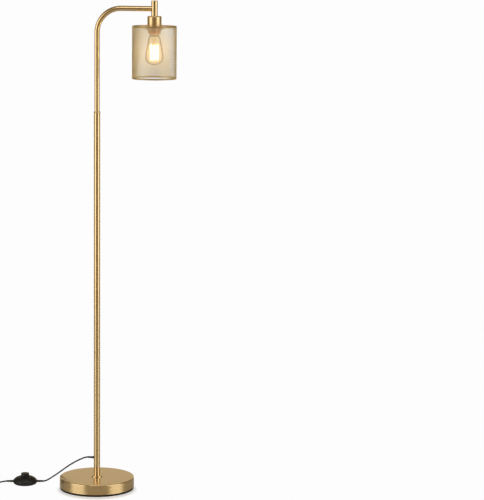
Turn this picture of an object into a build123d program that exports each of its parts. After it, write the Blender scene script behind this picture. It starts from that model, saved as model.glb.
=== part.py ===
"""Wire cage floor lamp: weighted base, pole, swivelling gooseneck arm, mesh shade, bulb, lead.

Millimetres. Z is up, the origin is the middle of the base's underside on the pole's axis, the arm
reaches along +X and the lead leaves along -X.
"""

from build123d import *
import math
import os

# ---- Clearances ----
FIT_GAP = 0.05  # radial gap of a fixed fit: a press fit, a thread, a brazed seat
RUN_GAP = 0.08  # radial gap of a part that turns or slides
HOLE_GAP = 0.3  # radial gap of a clearance hole
END_GAP = 0.2  # gap between end faces that turn past each other

# ---- Base ----
BASE_D = 250.0
BASE_H = 40.0  # top of the cover above the floor
PAD_T = 6.5
PAD_INSET = 1.5  # how far the pad's rim stands inside the cover's rim
COVER_WALL = 1.2
COVER_LIFT = 0.3  # the cover's lower rim above the pad
COVER_EDGE_R = 2.5
WEIGHT_GAP = 0.4  # between the weight's rim and the cover
WEIGHT_T = 14.0
WEIGHT_BOSS_D = 64.0
NUT_POCKET_D = 34.0
NUT_POCKET_DEPTH = 10.0
FLANGE_D = 35.0
FLANGE_T = 3.0
FLANGE_EDGE_R = 0.8

# ---- Threaded rod, nuts and washers ----
ROD_D = 10.0
ROD_BORE = 7.0
ROD_END = 1.0  # how far the rod ends past its nut, and short of its insert's end
NUT_WIDTH = 17.0  # across flats
NUT_T = 6.0
WASHER_D = 20.0
WASHER_T = 1.6

# ---- Pole ----
POLE_D = 21.0
POLE_WALL = 1.2
POLE_LENGTH = 1225.5  # all lengths together
POLE_LENGTHS = 3
INSERT_LENGTH = 20.0  # threaded insert in the pole's foot
STUD_D = 12.0
STUD_LENGTH = 16.0
PLUG_LENGTH = 18.0  # the part of a stud that sits in its tube
SOCKET_LENGTH = 22.0
WIRE_BORE = 8.0

# ---- Swivel ----
BEAD_D = 23.0
BEAD_H = 4.5
BEAD_EDGE_R = 2.0
BUSH_LENGTH = 30.0
SPIGOT_D = 12.0
SPIGOT_BORE = 7.0
SPIGOT_SEAT = 25.0  # the part of the spigot that sits in the arm
RING_NUT_D = 16.0
RING_NUT_T = 5.0
SPRING_WASHER_T = 1.0
SPIGOT_END = 1.0  # how far the spigot shows below its nut

# ---- Arm and stem ----
ARM_D = 17.2
ARM_WALL = 1.2
ARM_REACH = 191.0  # from the pole's axis to the stem's axis
ARM_BEND_R = 80.0  # at the tube's centreline
ARM_RISE = 339.8  # from the bead's top to the arm's axis
STEM_D = 21.0
STEM_WALL = 1.5
STEM_ABOVE = 27.0  # top of the stem's cap above the arm's axis
STEM_BELOW = 23.5  # from the arm's axis to the cup's top
CAP_T = 2.0
CAP_SEAT = 6.0
CAP_EDGE = 0.5
STEM_INSERT_LENGTH = 12.0

# ---- Cup and lampholder ----
CUP_D = 46.5
CUP_H = 32.0
CUP_WALL = 1.0
CUP_EDGE_R = 3.0
CUP_NUT_T = 4.0
ROD_IN_INSERT = 10.0
ROD_IN_HOLDER = 4.0
HOLDER_D = 38.0  # lampholder cap
HOLDER_WALL = 2.0
HOLDER_TOP_T = 5.0
HOLDER_TOP_R = 4.0
SHOULDER_D = 43.5
SHOULDER_T = 2.5
SKIRT_D = 41.0
SKIRT_BORE = 30.0
SKIRT_LENGTH = 24.0  # below the shoulder's top to the start of the nose
NOSE_D = 31.0
NOSE_H = 4.5
NOSE_BORE = 27.9
HOLDER_RING_D = 57.0
HOLDER_RING_H = 8.4
HOLDER_RING_EDGE = 0.8
CORE_T = 11.0
CORE_SEAT = 3.0  # top of the screw shell below the shoulder's top
SHELL_WALL = 0.5
SHELL_LENGTH = 24.0
SHELL_LID_GAP = 1.5  # between the shell's lid and the centre contact
TERMINAL_OFFSET = 9.0
TERMINAL_HEAD_D = 6.0
TERMINAL_HEAD_T = 2.5
CONTACT_W = 6.0
CONTACT_L = 12.0
CONTACT_T = 0.5

# ---- Shade ----
SHADE_D = 146.0
SHADE_H = 173.0
MESH_T = 1.0
MESH_CELLS_ROUND = 24
MESH_CELLS_HIGH = 5
MESH_STRAND = 1.8
HEM_H = 4.4
HEM_T = 1.2
FITTER_D = 56.0
FITTER_T = 1.5
SPOKE_W = 8.0
SPOKES = 3

# ---- Bulb ----
GLASS_D = 59.5
GLASS_H = 98.5  # from the neck's top to the tip
GLASS_WALL = 0.8
GLASS_NECK_D = 35.2
GLASS_THROAT_D = 25.0
GLASS_SHOULDER_H = 2.0
GLASS_WIDEST = 69.5  # below the neck's top
GLASS_TIP_H = 4.5
GLASS_TIP_D = 22.0
GLASS_SWELL = 0.9  # how far the side bulges beyond a straight line
GLASS_TUCK = 3.0  # the part of the glass inside the screw base
BULB_BASE_D = 26.0
BULB_BASE_H = 21.0
BULB_BASE_WALL = 0.3
BULB_SHOW = 2.8  # the bare part of the screw base below the lampholder's nose
INSULATOR_H = 3.2
INSULATOR_TOP_D = 12.0
TIP_D = 9.0
GLASS_STEM_D = 11.0
GLASS_STEM_L = 31.0  # from the glass's top down to the filaments
GLASS_HUB_T = 1.5
CARRIER_T = 1.0
FILAMENT_D = 2.2
FILAMENT_L = 48.0
FILAMENTS = 4
FILAMENT_CIRCLE = 21.4

# ---- Lead ----
LEAD_D = 5.0
LEAD_EXIT_Z = 105.0
BUSHING_D = 9.6
BUSHING_COLLAR = 1.6
BUSHING_SHANK = 7.2
BUSHING_ROOT = 7.2
BUSHING_TIP = 5.8
BUSHING_TAPER = 20.0
BUSHING_INSIDE = 0.8  # the shank inside the pole's wall
LEAD_INNER_BEND = 5.0
STEM_LEAD_BEND = 8.5

# ---- Foot switch ----
SWITCH_X = -250.0
SWITCH_Y = 6.0
SWITCH_TURN = 10.5  # degrees that the switch's long axis is turned from the X axis
SWITCH_D = 82.0
SWITCH_SOLE_D = 63.0
SWITCH_SEAM = 10.0  # height of the seam between cover and base, and of the lead
SWITCH_TOP = 27.0
SWITCH_TOP_D = 34.0
SWITCH_SIDE_H = 2.5  # the upright part of the cover's side
DOME_BULGE = 0.64  # how full the dome is: 0.5 is a straight cone
SWITCH_WALL = 2.0
SOLE_BULGE = 2.4  # how far the underside's curve stands out from a straight cone
BUTTON_D = 27.5
BUTTON_TOP = 38.5
BUTTON_EDGE_R = 2.5
BUTTON_LIP_D = 31.5
BUTTON_LIP_T = 2.0
BUTTON_WELL_D = 15.0
BUTTON_WELL_DEPTH = 12.0
BLOCK_L = 26.0
BLOCK_W = 20.0
BLOCK_H = 12.0
SPRING_D = 11.0  # at the middle of the wire
SPRING_WIRE = 1.0
SPRING_TURNS = 5
SCREW_CIRCLE = 54.0
SCREW_D = 3.0
SCREW_HEAD_D = 6.0
SCREW_HEAD_T = 2.0
SCREW_SINK = 0.8
SCREW_TOP = 18.0
SCREWS = 3
BOSS_D = 7.0
RELIEF_D = 8.0
RELIEF_TIP = 5.8
RELIEF_L = 22.0
RELIEF_SHANK = 7.4
RELIEF_HEAD_D = 10.0
RELIEF_HEAD_T = 1.5
RELIEF_HEAD_IN = 5.5  # the head inside the wall's inner face
RELIEF_STAND = 0.2  # the nose outside the wall

# ---- Coil and plug ----
COIL_X = -398.0
COIL_Y = 21.0
COIL_START = -100.0  # degrees, where the lead comes onto the coil
COIL_TURNS = 7.22
COIL_MID_R = 30.0  # at the middle of the turns
COIL_GAP = 0.65  # between neighbouring turns and between the layers
FLOOR_GAP = 0.1
PLUG_W = 24.0
PLUG_L = 28.0
PLUG_EDGE_R = 3.0
PLUG_RELIEF_L = 32.0
PLUG_RELIEF_D = 11.0
PLUG_RELIEF_TIP = 6.4
BLADE_W = 6.35
BLADE_T = 1.5
BLADE_L = 17.5
BLADE_SPACING = 12.7
BLADE_ROOT = 6.0  # the part of a blade inside the plug

# ---- Sizes and places that follow ----
POLE_BORE = POLE_D - 2 * POLE_WALL
POLE_FOOT = BASE_H + FLANGE_T
POLE_TOP = POLE_FOOT + POLE_LENGTH
BEAD_TOP = POLE_TOP + BEAD_H
ARM_BORE = ARM_D - 2 * ARM_WALL
ARM_FOOT = BEAD_TOP + END_GAP
ARM_Z = BEAD_TOP + ARM_RISE
STEM_BORE = STEM_D - 2 * STEM_WALL
STEM_TOP = ARM_Z + STEM_ABOVE - CAP_T
CUP_TOP = ARM_Z - STEM_BELOW
CUP_FLOOR = CUP_TOP - CUP_WALL  # underside of the cup's top
HOLDER_TOP = CUP_FLOOR - CUP_NUT_T
SHOULDER_TOP = CUP_TOP - CUP_H
SHADE_TOP = SHOULDER_TOP
SHADE_FOOT = SHADE_TOP - SHADE_H
FITTER_TOP = SHOULDER_TOP - SHOULDER_T
NOSE_TOP = SHOULDER_TOP - SKIRT_LENGTH
NOSE_FOOT = NOSE_TOP - NOSE_H
SHELL_TOP = SHOULDER_TOP - CORE_SEAT
GLASS_TOP = NOSE_FOOT - BULB_SHOW
INSULATOR_TOP = GLASS_TOP + BULB_BASE_H + INSULATOR_H
MESH_BORE = SHADE_D - 2 * MESH_T
NUT_POCKET_TOP = PAD_T + NUT_POCKET_DEPTH
COVER_BORE = BASE_D - 2 * COVER_WALL
SWITCH_BLOCK_TOP = SWITCH_WALL + BLOCK_H
LEAD_EXIT_X = POLE_D / 2 + BUSHING_COLLAR + BUSHING_TAPER  # distance of the bushing's tip
COIL_PITCH = LEAD_D + COIL_GAP
COIL_LOW_Z = LEAD_D / 2 + FLOOR_GAP
COIL_HIGH_Z = COIL_LOW_Z + COIL_PITCH
PLUG_H = 2 * COIL_HIGH_Z - FLOOR_GAP
BUTTON_LIP_TOP = SWITCH_TOP - SWITCH_WALL - END_GAP

# The lead's free route is a list of corners, chosen by hand. Its first and last corners are where
# it meets the bushing, the switch's strain reliefs and the coil.
POLE_TO_SWITCH = [
    (-46.0, 0.0, LEAD_EXIT_Z),
    (-72.0, 4.0, 91.0),
    (-100.0, 9.0, 72.0),
    (-128.0, 14.0, 50.0),
    (-152.0, 17.8, 24.4),
]
SWITCH_LEAD_RUN = 16.0  # the straight run into and out of a strain relief
SWITCH_TO_COIL = [
    (-344.0, -12.5, COIL_LOW_Z),
]
COIL_LEAD_RUN = 19.0  # the last straight run before the coil


# ---- Helpers ----
ON_Z = (Align.CENTER, Align.CENTER, Align.MIN)


def disc(d, z0, z1):
    """A solid cylinder on the Z axis between two heights."""
    return Pos(0, 0, z0) * Cylinder(d / 2, z1 - z0, align=ON_Z)


def sleeve(d, bore, z0, z1):
    """A hollow cylinder on the Z axis between two heights."""
    return disc(d, z0, z1) - disc(bore, z0, z1)


def cone(low_d, high_d, z0, z1):
    """A solid cone's frustum on the Z axis between two heights."""
    return Pos(0, 0, z0) * Cone(low_d / 2, high_d / 2, z1 - z0, align=ON_Z)


def block(x, y, z0, z1):
    """A rectangular block standing on the Z axis between two heights."""
    return Pos(0, 0, z0) * Box(x, y, z1 - z0, align=ON_Z)


def turned(*lines):
    """A profile of lines and arcs in the XZ plane, turned about the Z axis."""
    return revolve(make_face(Wire(list(lines))), Axis.Z)


def hex_nut(width, bore, z0, z1):
    """A hexagon nut on the Z axis, given across its flats."""
    side = RegularPolygon(width / 2, 6, major_radius=False)
    return Pos(0, 0, z0) * extrude(side, z1 - z0) - disc(bore, z0, z1)


def rim(part, z, smallest=0.0):
    """The circular edges of a turned part at one height, from a smallest radius up."""
    edges = part.edges().filter_by(GeomType.CIRCLE)
    return edges.filter_by(lambda e: abs(e.center().Z - z) < 0.01 and e.radius > smallest)


def arcs_through(points, tangents):
    """A path of two tangent arcs (a biarc) from each point to the next."""
    edges = []
    for p0, p1, t0, t1 in zip(points, points[1:], tangents, tangents[1:]):
        step, both = p1 - p0, t0 + t1
        closing = 2 * (1 - t0.dot(t1))
        along = step.dot(both)
        reach = (math.sqrt(along**2 + closing * step.dot(step)) - along) / closing
        corner0, corner1 = p0 + t0 * reach, p1 - t1 * reach
        middle = (corner0 + corner1) * 0.5
        edges.append(TangentArc(p0, middle, tangent=t0))
        edges.append(TangentArc(middle, p1, tangent=corner1 - corner0))
    return edges


def tube_along(path, d):
    """A round tube of one diameter along a path."""
    start = path @ 0
    return sweep(Plane(origin=start, z_dir=path % 0) * Circle(d / 2), path=path)


def lead_along(name, corners):
    """The lead along straight runs joined by arcs as large as the runs allow, with its report."""
    points = [Vector(*p) for p in corners]
    radii = []
    for before, corner, after in zip(points, points[1:], points[2:]):
        turn = math.radians((corner - before).get_angle(after - corner))
        shorter = min((corner - before).length, (after - corner).length)
        radii.append(0.45 * shorter / math.tan(turn / 2))
    path = FilletPolyline(*points, radius=radii)
    wire = path.wire() if hasattr(path, "wire") else path
    solid = tube_along(wire, LEAD_D)
    expected = math.pi * LEAD_D**2 / 4 * wire.length
    print(f"{name}: length {wire.length:.1f}, radii {[round(r, 1) for r in radii]},"
          f" volume {solid.volume:.1f} for {expected:.1f}")
    return solid


def at_stem(part):
    """A part made on the Z axis, moved onto the stem's axis."""
    return Pos(ARM_REACH, 0, 0) * part


def at_switch(part):
    """A part made on the Z axis with the lead along X, moved to the foot switch."""
    return Pos(SWITCH_X, SWITCH_Y, 0) * Rot(0, 0, SWITCH_TURN) * part


def switch_point(along, z):
    """A point on the foot switch's long axis, counted from its middle towards the pole."""
    angle = math.radians(SWITCH_TURN)
    return (SWITCH_X + along * math.cos(angle), SWITCH_Y + along * math.sin(angle), z)


# ---- Base ----
def base_pad():
    return disc(BASE_D - 2 * PAD_INSET, 0, PAD_T)


def base_cover():
    low = PAD_T + COVER_LIFT
    outer = disc(BASE_D, low, BASE_H)
    outer = fillet(rim(outer, BASE_H), COVER_EDGE_R)
    inner = disc(COVER_BORE, low, BASE_H - COVER_WALL)
    inner = fillet(rim(inner, BASE_H - COVER_WALL), COVER_EDGE_R - COVER_WALL)
    return outer - inner - disc(ROD_D + 2 * HOLE_GAP, low, BASE_H)


def base_weight():
    plate = disc(COVER_BORE - 2 * WEIGHT_GAP, PAD_T, PAD_T + WEIGHT_T)
    boss = disc(WEIGHT_BOSS_D, PAD_T, BASE_H - COVER_WALL)
    pocket = disc(NUT_POCKET_D, PAD_T, NUT_POCKET_TOP)
    return plate + boss - pocket - disc(ROD_D + 2 * HOLE_GAP, PAD_T, BASE_H)


def base_washer():
    return sleeve(WASHER_D, ROD_D + 2 * HOLE_GAP, NUT_POCKET_TOP - WASHER_T, NUT_POCKET_TOP)


def base_nut():
    top = NUT_POCKET_TOP - WASHER_T
    return hex_nut(NUT_WIDTH, ROD_D + 2 * FIT_GAP, top - NUT_T, top)


def base_rod():
    low = NUT_POCKET_TOP - WASHER_T - NUT_T - ROD_END
    return sleeve(ROD_D, ROD_BORE, low, POLE_FOOT + INSERT_LENGTH - ROD_END)


def pole_foot_flange():
    flange = disc(FLANGE_D, BASE_H, POLE_FOOT)
    flange = fillet(rim(flange, POLE_FOOT), FLANGE_EDGE_R)
    return flange - disc(ROD_D + 2 * HOLE_GAP, BASE_H, POLE_FOOT)


# ---- Pole ----
def seam_heights():
    """The heights of both ends of each length of pole."""
    step = POLE_LENGTH / POLE_LENGTHS
    return [POLE_FOOT + step * k for k in range(POLE_LENGTHS + 1)]


def pole_length(z0, z1):
    tube = sleeve(POLE_D, POLE_BORE, z0, z1)
    if z0 < LEAD_EXIT_Z < z1:
        hole = disc(BUSHING_SHANK + 2 * FIT_GAP, 0, POLE_D)
        tube -= Pos(0, 0, LEAD_EXIT_Z) * Rot(0, -90, 0) * hole
    return tube


def pole_foot_insert():
    return sleeve(POLE_BORE - 2 * FIT_GAP, ROD_D + 2 * FIT_GAP, POLE_FOOT, POLE_FOOT + INSERT_LENGTH)


def pole_socket(seam):
    """The threaded socket in the top of a length of pole, flush with its end."""
    low = seam - SOCKET_LENGTH
    body = sleeve(POLE_BORE - 2 * FIT_GAP, WIRE_BORE, low, seam)
    return body - disc(STUD_D + 2 * FIT_GAP, seam - STUD_LENGTH - END_GAP, seam)


def pole_stud(seam):
    """The hollow stud in the foot of the next length, screwed into the socket below."""
    plug = disc(POLE_BORE - 2 * FIT_GAP, seam, seam + PLUG_LENGTH)
    stud = disc(STUD_D, seam - STUD_LENGTH, seam)
    return plug + stud - disc(WIRE_BORE, seam - STUD_LENGTH, seam + PLUG_LENGTH)


def cord_exit_bushing():
    """A moulded bushing through the pole's wall, with a tapered nose along -X."""
    inner = POLE_BORE / 2 - BUSHING_INSIDE
    face = POLE_D / 2 + BUSHING_COLLAR
    shank = disc(BUSHING_SHANK, inner, face)
    collar = disc(BUSHING_D, POLE_BORE / 2, face)
    nose = cone(BUSHING_ROOT, BUSHING_TIP, face, face + BUSHING_TAPER)
    to_side = Pos(0, 0, LEAD_EXIT_Z) * Rot(0, -90, 0)
    wall = disc(POLE_D + 2 * FIT_GAP, 0, BEAD_TOP)
    return to_side * shank + (to_side * collar - wall) + to_side * nose


# ---- Swivel ----
def swivel_bush():
    shank = disc(POLE_BORE - 2 * FIT_GAP, POLE_TOP - BUSH_LENGTH, POLE_TOP)
    bead = disc(BEAD_D, POLE_TOP, BEAD_TOP)
    bead = fillet(bead.edges().filter_by(GeomType.CIRCLE), BEAD_EDGE_R)
    return shank + bead - disc(SPIGOT_D + 2 * RUN_GAP, POLE_TOP - BUSH_LENGTH, BEAD_TOP)


def washer_top():
    return POLE_TOP - BUSH_LENGTH - END_GAP


def arm_spigot():
    foot = washer_top() - SPRING_WASHER_T - RING_NUT_T - SPIGOT_END
    seat = disc(ARM_BORE - 2 * FIT_GAP, ARM_FOOT, ARM_FOOT + SPIGOT_SEAT)
    return seat + disc(SPIGOT_D, foot, ARM_FOOT) - disc(SPIGOT_BORE, foot, ARM_FOOT + SPIGOT_SEAT)


def swivel_washer():
    return sleeve(RING_NUT_D, SPIGOT_D + 2 * FIT_GAP, washer_top() - SPRING_WASHER_T, washer_top())


def swivel_nut():
    top = washer_top() - SPRING_WASHER_T
    return sleeve(RING_NUT_D, SPIGOT_D + 2 * FIT_GAP, top - RING_NUT_T, top)


# ---- Arm and stem ----
def gooseneck_arm():
    """A bent tube, coped at its end to sit on the stem."""
    path = FilletPolyline(
        (0, 0, ARM_FOOT), (0, 0, ARM_Z), (ARM_REACH - STEM_D / 4, 0, ARM_Z), radius=ARM_BEND_R
    )
    section = Pos(0, 0, ARM_FOOT) * (Circle(ARM_D / 2) - Circle(ARM_BORE / 2))
    tube = sweep(section, path=path)
    return tube - at_stem(disc(STEM_D + 2 * FIT_GAP, ARM_FOOT, ARM_Z + STEM_D))


def stem_tube():
    tube = sleeve(STEM_D, STEM_BORE, CUP_TOP, STEM_TOP)
    hole = disc(ARM_BORE, 0, STEM_D)
    return at_stem(tube - Pos(0, 0, ARM_Z) * Rot(0, -90, 0) * hole)


def stem_cap():
    top = disc(STEM_D, STEM_TOP, STEM_TOP + CAP_T)
    top = chamfer(rim(top, STEM_TOP + CAP_T), CAP_EDGE)
    return at_stem(top + disc(STEM_BORE - 2 * FIT_GAP, STEM_TOP - CAP_SEAT, STEM_TOP))


def stem_insert():
    d, bore = STEM_BORE - 2 * FIT_GAP, ROD_D + 2 * FIT_GAP
    return at_stem(sleeve(d, bore, CUP_TOP, CUP_TOP + STEM_INSERT_LENGTH))


# ---- Cup and lampholder ----
def cup_rod():
    return at_stem(sleeve(ROD_D, ROD_BORE, HOLDER_TOP - ROD_IN_HOLDER, CUP_TOP + ROD_IN_INSERT))


def cup_nut():
    return at_stem(hex_nut(NUT_WIDTH, ROD_D + 2 * FIT_GAP, HOLDER_TOP, CUP_FLOOR))


def socket_cup():
    low = CUP_TOP - CUP_H
    outer = disc(CUP_D, low, CUP_TOP)
    outer = fillet(rim(outer, CUP_TOP), CUP_EDGE_R)
    inner = disc(CUP_D - 2 * CUP_WALL, low, CUP_FLOOR)
    inner = fillet(rim(inner, CUP_FLOOR), CUP_EDGE_R - CUP_WALL)
    return at_stem(outer - inner - disc(ROD_D + 2 * HOLE_GAP, low, CUP_TOP))


def lampholder_cap():
    outer = disc(HOLDER_D, SHOULDER_TOP, HOLDER_TOP)
    outer = fillet(rim(outer, HOLDER_TOP), HOLDER_TOP_R)
    inner = disc(HOLDER_D - 2 * HOLDER_WALL, SHOULDER_TOP, HOLDER_TOP - HOLDER_TOP_T)
    return at_stem(outer - inner - disc(ROD_D + 2 * FIT_GAP, SHOULDER_TOP, HOLDER_TOP))


def lampholder_skirt():
    shoulder = disc(SHOULDER_D, FITTER_TOP, SHOULDER_TOP)
    body = disc(SKIRT_D, NOSE_TOP, SHOULDER_TOP)
    nose = cone(NOSE_D, SKIRT_D, NOSE_FOOT, NOSE_TOP)
    bore = disc(SKIRT_BORE, NOSE_TOP, SHOULDER_TOP) + disc(NOSE_BORE, NOSE_FOOT, NOSE_TOP)
    return at_stem(shoulder + body + nose - bore)


def lampholder_ring():
    top = FITTER_TOP - FITTER_T
    ring = sleeve(HOLDER_RING_D, SKIRT_D + 2 * FIT_GAP, top - HOLDER_RING_H, top)
    return at_stem(chamfer(rim(ring, top - HOLDER_RING_H, SKIRT_D / 2 + 1), HOLDER_RING_EDGE))


def lampholder_core():
    return at_stem(disc(SKIRT_BORE - 2 * HOLE_GAP, SHELL_TOP, SHELL_TOP + CORE_T))


def screw_shell():
    bore = BULB_BASE_D + 2 * HOLE_GAP
    wall = sleeve(bore + 2 * SHELL_WALL, bore, SHELL_TOP - SHELL_LENGTH, SHELL_TOP)
    lid = sleeve(bore, CONTACT_L + 2 * SHELL_LID_GAP, SHELL_TOP - SHELL_WALL, SHELL_TOP)
    return at_stem(wall + lid)


def centre_contact():
    return at_stem(block(CONTACT_L, CONTACT_W, SHELL_TOP - CONTACT_T, SHELL_TOP))


def terminal_screws():
    top = SHELL_TOP + CORE_T
    head = disc(TERMINAL_HEAD_D, top, top + TERMINAL_HEAD_T)
    return [at_stem(Pos(side * TERMINAL_OFFSET, 0, 0) * head) for side in (-1, 1)]


# ---- Shade ----
def shade_mesh():
    """The rolled mesh: a thin wall with staggered diamond openings between two plain hems."""
    wall = sleeve(SHADE_D, MESH_BORE, SHADE_FOOT, SHADE_TOP)
    cell_w = math.pi * (SHADE_D - MESH_T) / MESH_CELLS_ROUND
    cell_h = (SHADE_H - 2 * HEM_H) / MESH_CELLS_HIGH
    slant = math.hypot(cell_w, cell_h)
    half_w = cell_w / 2 - MESH_STRAND / 2 * slant / cell_h
    half_h = cell_h / 2 - MESH_STRAND / 2 * slant / cell_w
    corners = [(half_h, 0), (0, half_w), (-half_h, 0), (0, -half_w)]
    # The wall bows in across a cell, so the cutter starts well inside it.
    depth = cell_w**2 / (4 * SHADE_D) + 3 * MESH_T
    diamond = extrude(make_face(Polyline(*corners, close=True)), depth)
    diamond = Pos(SHADE_D / 2 + MESH_T - depth, 0, 0) * Rot(0, 90, 0) * diamond
    cuts = []
    for row in range(2 * MESH_CELLS_HIGH - 1):
        z = SHADE_FOOT + HEM_H + (row + 1) * cell_h / 2
        for column in range(MESH_CELLS_ROUND):
            angle = 360 / MESH_CELLS_ROUND * (column + 0.5 * (row % 2))
            cuts.append(Rot(0, 0, angle) * Pos(0, 0, z) * diamond)
    return at_stem(wall - cuts)


def shade_hoop(z0):
    d = MESH_BORE - 2 * FIT_GAP
    return at_stem(sleeve(d, d - 2 * HEM_T, z0, z0 + HEM_H))


def shade_spider():
    """The fitter ring that the ring nut clamps, with spokes out to the top hoop."""
    low = FITTER_TOP - FITTER_T
    reach = MESH_BORE / 2 - FIT_GAP - HEM_T - FIT_GAP
    ring = disc(FITTER_D, low, FITTER_TOP)
    spoke = Pos(reach / 2, 0, 0) * block(reach, SPOKE_W, low, FITTER_TOP)
    for k in range(SPOKES):
        ring += Rot(0, 0, 90 + 360 / SPOKES * k) * spoke
    ring &= disc(2 * reach, low, FITTER_TOP)
    return at_stem(ring - disc(SKIRT_D + 2 * HOLE_GAP, low, FITTER_TOP))


# ---- Bulb ----
def glass_form(inset):
    """The envelope's outline turned about its axis, drawn in by an inset all round."""
    neck, widest, tip = (d / 2 - inset for d in (GLASS_NECK_D, GLASS_D, GLASS_TIP_D))
    throat = GLASS_THROAT_D / 2 - inset
    top, shoulder = GLASS_TOP + GLASS_TUCK - inset, GLASS_TOP - inset
    neck_z, wide_z = GLASS_TOP - GLASS_SHOULDER_H - inset, GLASS_TOP - GLASS_WIDEST
    foot = GLASS_TOP - GLASS_H + inset
    tip_z = foot + GLASS_TIP_H
    middle = ((neck + widest) / 2 + GLASS_SWELL, 0, (neck_z + wide_z) / 2)
    lean = (widest - neck) / (neck_z - wide_z)
    down = Vector(0, 0, -1)
    side = Spline((neck, 0, neck_z), middle, (widest, 0, wide_z), tangents=[Vector(2 * lean, 0, -1), down])
    dome = Spline((widest, 0, wide_z), (tip, 0, tip_z), tangents=[down, Vector(-tip, 0, -GLASS_TIP_H / 2)])
    return turned(
        Line((0, 0, top), (throat, 0, top)),
        Line((throat, 0, top), (throat, 0, shoulder)),
        Line((throat, 0, shoulder), (neck, 0, neck_z)),
        side,
        dome,
        Line((tip, 0, tip_z), (0, 0, foot)),
        Line((0, 0, foot), (0, 0, top)),
    )


def bulb_glass():
    return at_stem(glass_form(0) - glass_form(GLASS_WALL))


def bulb_screw_base():
    bore = BULB_BASE_D - 2 * BULB_BASE_WALL
    return at_stem(sleeve(BULB_BASE_D, bore, GLASS_TOP + FIT_GAP, GLASS_TOP + BULB_BASE_H))


def bulb_insulator():
    low = GLASS_TOP + BULB_BASE_H
    return at_stem(cone(BULB_BASE_D, INSULATOR_TOP_D, low, low + INSULATOR_H))


def bulb_tip():
    """The tip reaches up to the lampholder's contact."""
    return at_stem(disc(TIP_D, INSULATOR_TOP, SHELL_TOP - CONTACT_T - FIT_GAP))


def bulb_glass_stem():
    """The stem that carries the filaments, standing in the envelope's throat."""
    top = GLASS_TOP + GLASS_TUCK - GLASS_WALL - FIT_GAP
    low = GLASS_TOP - GLASS_STEM_L
    hub = disc(GLASS_THROAT_D - 2 * GLASS_WALL - 2 * FIT_GAP, top - GLASS_HUB_T, top)
    rod = disc(GLASS_STEM_D, low, top)
    carrier = disc(FILAMENT_CIRCLE + FILAMENT_D, low, low + CARRIER_T)
    return at_stem(hub + rod + carrier)


def bulb_filaments():
    top = GLASS_TOP - GLASS_STEM_L
    bar = disc(FILAMENT_D, top - FILAMENT_L, top)
    turn = 360 / FILAMENTS
    return [at_stem(Rot(0, 0, turn * k) * Pos(FILAMENT_CIRCLE / 2, 0, 0) * bar) for k in range(FILAMENTS)]


# ---- Lead inside the lamp ----
def lead_in_pole():
    """From the bushing up the pole to the level of the spigot's foot."""
    start = POLE_BORE / 2 - BUSHING_INSIDE
    corners = [(-start, 0, LEAD_EXIT_Z), (0, 0, LEAD_EXIT_Z), (0, 0, swivel_meet())]
    return tube_along(FilletPolyline(*corners, radius=LEAD_INNER_BEND), LEAD_D)


def swivel_meet():
    """The height where the pole's lead meets the arm's lead, inside the spigot."""
    return POLE_TOP


def lead_in_arm():
    """From the spigot through the arm and the stem to the lampholder's core."""
    corners = [
        (0, 0, swivel_meet()),
        (0, 0, ARM_Z),
        (ARM_REACH, 0, ARM_Z),
        (ARM_REACH, 0, SHELL_TOP + CORE_T),
    ]
    return tube_along(FilletPolyline(*corners, radius=[ARM_BEND_R, STEM_LEAD_BEND]), LEAD_D)


# ---- Foot switch ----
def dome(inset, low, hole):
    """The cover's outline turned about its axis, drawn in by an inset."""
    side, top_r = SWITCH_D / 2 - inset, SWITCH_TOP_D / 2
    top, shoulder = SWITCH_TOP - inset, low + SWITCH_SIDE_H
    bulge = ((top_r + (side - top_r) * DOME_BULGE), 0, shoulder + (top - shoulder) * DOME_BULGE)
    return turned(
        Line((hole, 0, low), (side, 0, low)),
        Line((side, 0, low), (side, 0, shoulder)),
        ThreePointArc((side, 0, shoulder), bulge, (top_r, 0, top)),
        Line((top_r, 0, top), (hole, 0, top)),
        Line((hole, 0, top), (hole, 0, low)),
    )


def relief_holes():
    """The two round holes where the lead's strain reliefs pass the housing's wall."""
    hole = Cylinder(RELIEF_SHANK / 2 + FIT_GAP, SWITCH_D + 2 * RELIEF_STAND)
    return Pos(0, 0, SWITCH_SEAM) * Rot(0, 90, 0) * hole


def screw_places():
    return [Rot(0, 0, 90 + 360 / SCREWS * k) * Pos(SCREW_CIRCLE / 2, 0, 0) for k in range(SCREWS)]


def switch_cover():
    whole = dome(0, SWITCH_SEAM, BUTTON_D / 2 + RUN_GAP)
    shell = whole - dome(SWITCH_WALL, SWITCH_SEAM, 0)
    for place in screw_places():
        shell += place * disc(BOSS_D, SWITCH_SEAM, SWITCH_TOP) & whole
        shell -= place * disc(SCREW_D + 2 * FIT_GAP, SWITCH_SEAM, SCREW_TOP + HOLE_GAP)
    return at_switch(shell - relief_holes())


def bowl(inset):
    """The lower housing's outline turned about its axis, drawn in by an inset."""
    sole, side = (SWITCH_SOLE_D / 2, 0, inset), (SWITCH_D / 2 - inset, 0, SWITCH_SEAM)
    chord = Vector(*side) - Vector(*sole)
    outward = Vector(chord.Z, 0, -chord.X).normalized() * SOLE_BULGE
    middle = (Vector(*sole) + Vector(*side)) * 0.5 + outward
    return turned(
        Line((0, 0, inset), sole),
        ThreePointArc(sole, middle, side),
        Line(side, (0, 0, SWITCH_SEAM)),
        Line((0, 0, SWITCH_SEAM), (0, 0, inset)),
    )


def switch_base():
    shell = bowl(0) - bowl(SWITCH_WALL)
    for place in screw_places():
        shell += place * disc(BOSS_D, SWITCH_WALL, SWITCH_SEAM)
        shell -= place * disc(SCREW_D + 2 * HOLE_GAP, 0, SWITCH_SEAM)
        shell -= place * disc(SCREW_HEAD_D + 2 * HOLE_GAP, 0, SCREW_SINK + SCREW_HEAD_T)
    return at_switch(shell - relief_holes())


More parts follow.
